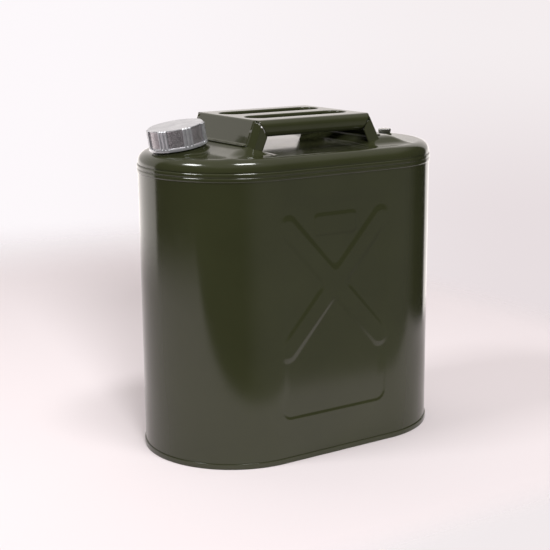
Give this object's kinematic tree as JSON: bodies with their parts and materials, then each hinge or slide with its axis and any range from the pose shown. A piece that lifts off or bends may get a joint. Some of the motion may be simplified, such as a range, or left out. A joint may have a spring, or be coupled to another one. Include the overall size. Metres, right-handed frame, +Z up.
{
  "type": "jerry can",
  "caption": "Upright oval steel fuel can with a tilted screw-capped filler, a small air screw and one wide pressed carrying handle with two finger slots.",
  "frame": {"origin": "middle of the floor under the can", "axes": "+X along the long side, away from the filler; +Y to the back, away from the crossed pressing; +Z up"},
  "size_m": [0.3776, 0.2216, 0.3928],
  "materials": {
    "green_paint": "gloss dark olive green enamel",
    "cast_alloy": "bare die-cast alloy, slightly rough",
    "plated_steel": "bright zinc plate",
    "seal_rubber": "matt black"
  },
  "bodies": {
    "can": {"body_wrap": "green_paint", "side_seam": "green_paint", "bottom_pan": "green_paint", "bottom_rim": "green_paint", "top_pan": "green_paint", "top_rim": "green_paint", "filler_neck": "green_paint", "neck_collar": "green_paint", "vent_bush": "green_paint", "handle": "green_paint", "handle_spot_welds": "green_paint"},
    "cap_seal": {"cap_disc": "plated_steel", "cap_gasket": "seal_rubber"},
    "cap": {"cap_shell": "cast_alloy"},
    "vent_seal": {"vent_washer": "seal_rubber"},
    "vent": {"vent_screw": "plated_steel"}
  },
  "joints": [
    {"name": "cap_lift", "type": "slide", "parent": "can", "child": "cap_seal", "axis": [-0.165, 0, 0.9863], "range_m": [0, 0.0402]},
    {"name": "cap_turn", "type": "hinge", "parent": "cap_seal", "child": "cap", "pos_m": [-0.1475, 0, 0.363], "axis": [-0.165, 0, 0.9863], "range_deg": [0, 1800]},
    {"name": "vent_lift", "type": "slide", "parent": "can", "child": "vent_seal", "axis": [0, 0, 1], "range_m": [0, 0.01124]},
    {"name": "vent_turn", "type": "hinge", "parent": "vent_seal", "child": "vent", "pos_m": [0.1475, 0, 0.36], "axis": [0, 0, 1], "range_deg": [0, 3240]}
  ],
  "couplings": [
    {"joint": "cap_lift", "follows": "cap_turn", "m_per_rad": 0.0012732},
    {"joint": "vent_turn", "follows": "vent_lift", "rad_per_m": 5026.5}
  ]
}
